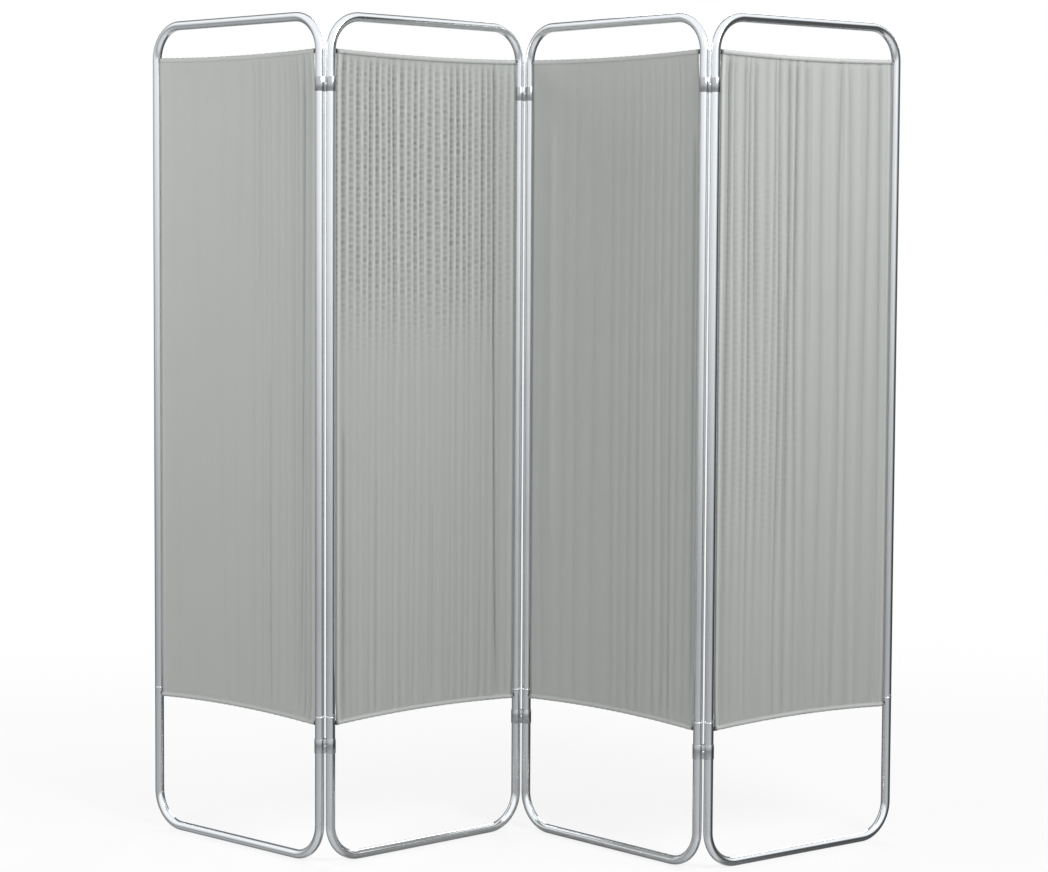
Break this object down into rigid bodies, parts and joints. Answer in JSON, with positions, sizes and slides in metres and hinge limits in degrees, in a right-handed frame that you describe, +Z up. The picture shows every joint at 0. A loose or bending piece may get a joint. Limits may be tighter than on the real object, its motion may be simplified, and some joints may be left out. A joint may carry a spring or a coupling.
{
  "type": "folding privacy screen",
  "caption": "Folding privacy screen: bright bent-tube panels hinged in a zigzag row, each with a grey gathered curtain on two rods.",
  "frame": {"origin": "on the floor, under the middle of the row's bounding box", "axes": "+X along the row to the viewer's right, +Y away from the viewer, +Z up"},
  "size_m": [1.5824, 0.3515, 1.727],
  "materials": {
    "chrome_tube": "bright chromed steel tube",
    "hinge_metal": "bright plated strip, a little duller than the tubes",
    "rod_steel": "plated steel wire and rod",
    "inner_steel": "plain steel, hidden inside the tubes",
    "curtain_cloth": "matt light grey woven cloth with fine gathers"
  },
  "bodies": {
    "panel_1": {"upper_frame_1": "chrome_tube", "lower_frame_1": "chrome_tube", "joint_sleeve_left_1": "inner_steel", "joint_sleeve_right_1": "inner_steel", "curtain_1": "curtain_cloth", "top_rod_1": "rod_steel", "bottom_rod_1": "rod_steel", "top_hook_left_1": "rod_steel", "top_hook_right_1": "rod_steel", "bottom_hook_left_1": "rod_steel", "bottom_hook_right_1": "rod_steel"},
    "hinge_1": {"upper_hinge_band_1": "hinge_metal", "lower_hinge_band_1": "hinge_metal", "upper_hinge_rivet_1": "hinge_metal", "lower_hinge_rivet_1": "hinge_metal"},
    "panel_2": {"upper_frame_2": "chrome_tube", "lower_frame_2": "chrome_tube", "joint_sleeve_left_2": "inner_steel", "joint_sleeve_right_2": "inner_steel", "curtain_2": "curtain_cloth", "top_rod_2": "rod_steel", "bottom_rod_2": "rod_steel", "top_hook_left_2": "rod_steel", "top_hook_right_2": "rod_steel", "bottom_hook_left_2": "rod_steel", "bottom_hook_right_2": "rod_steel"},
    "hinge_2": {"upper_hinge_band_2": "hinge_metal", "lower_hinge_band_2": "hinge_metal", "upper_hinge_rivet_2": "hinge_metal", "lower_hinge_rivet_2": "hinge_metal"},
    "panel_3": {"upper_frame_3": "chrome_tube", "lower_frame_3": "chrome_tube", "joint_sleeve_left_3": "inner_steel", "joint_sleeve_right_3": "inner_steel", "curtain_3": "curtain_cloth", "top_rod_3": "rod_steel", "bottom_rod_3": "rod_steel", "top_hook_left_3": "rod_steel", "top_hook_right_3": "rod_steel", "bottom_hook_left_3": "rod_steel", "bottom_hook_right_3": "rod_steel"},
    "hinge_3": {"upper_hinge_band_3": "hinge_metal", "lower_hinge_band_3": "hinge_metal", "upper_hinge_rivet_3": "hinge_metal", "lower_hinge_rivet_3": "hinge_metal"},
    "panel_4": {"upper_frame_4": "chrome_tube", "lower_frame_4": "chrome_tube", "joint_sleeve_left_4": "inner_steel", "joint_sleeve_right_4": "inner_steel", "curtain_4": "curtain_cloth", "top_rod_4": "rod_steel", "bottom_rod_4": "rod_steel", "top_hook_left_4": "rod_steel", "top_hook_right_4": "rod_steel", "bottom_hook_left_4": "rod_steel", "bottom_hook_right_4": "rod_steel"}
  },
  "joints": [
    {"name": "panel_2_fold", "type": "hinge", "parent": "hinge_2", "child": "panel_2", "pos_m": [-0.0111, 0.16533, 0], "axis": [0, 0, 1], "range_deg": [-42.4, 47.6]},
    {"name": "panel_3_fold", "type": "hinge", "parent": "hinge_2", "child": "panel_3", "pos_m": [0.0111, 0.16533, 0], "axis": [0, 0, -1], "range_deg": [-42.4, 47.6]},
    {"name": "hinge_1_turn", "type": "hinge", "parent": "panel_2", "child": "hinge_1", "pos_m": [-0.37221, -0.1644, 0], "axis": [0, 0, -1], "range_deg": [-40, 50]},
    {"name": "panel_1_fold", "type": "hinge", "parent": "hinge_1", "child": "panel_1", "pos_m": [-0.39438, -0.16533, 0], "axis": [0, 0, -1], "range_deg": [-40, 50]},
    {"name": "hinge_3_turn", "type": "hinge", "parent": "panel_3", "child": "hinge_3", "pos_m": [0.37221, -0.1644, 0], "axis": [0, 0, 1], "range_deg": [-40, 50]},
    {"name": "panel_4_fold", "type": "hinge", "parent": "hinge_3", "child": "panel_4", "pos_m": [0.39438, -0.16533, 0], "axis": [0, 0, 1], "range_deg": [-40, 50]}
  ],
  "couplings": [
    {"joint": "panel_2_fold", "follows": "panel_3_fold", "ratio": 1},
    {"joint": "hinge_1_turn", "follows": "panel_1_fold", "ratio": 1},
    {"joint": "hinge_3_turn", "follows": "panel_4_fold", "ratio": 1}
  ]
}
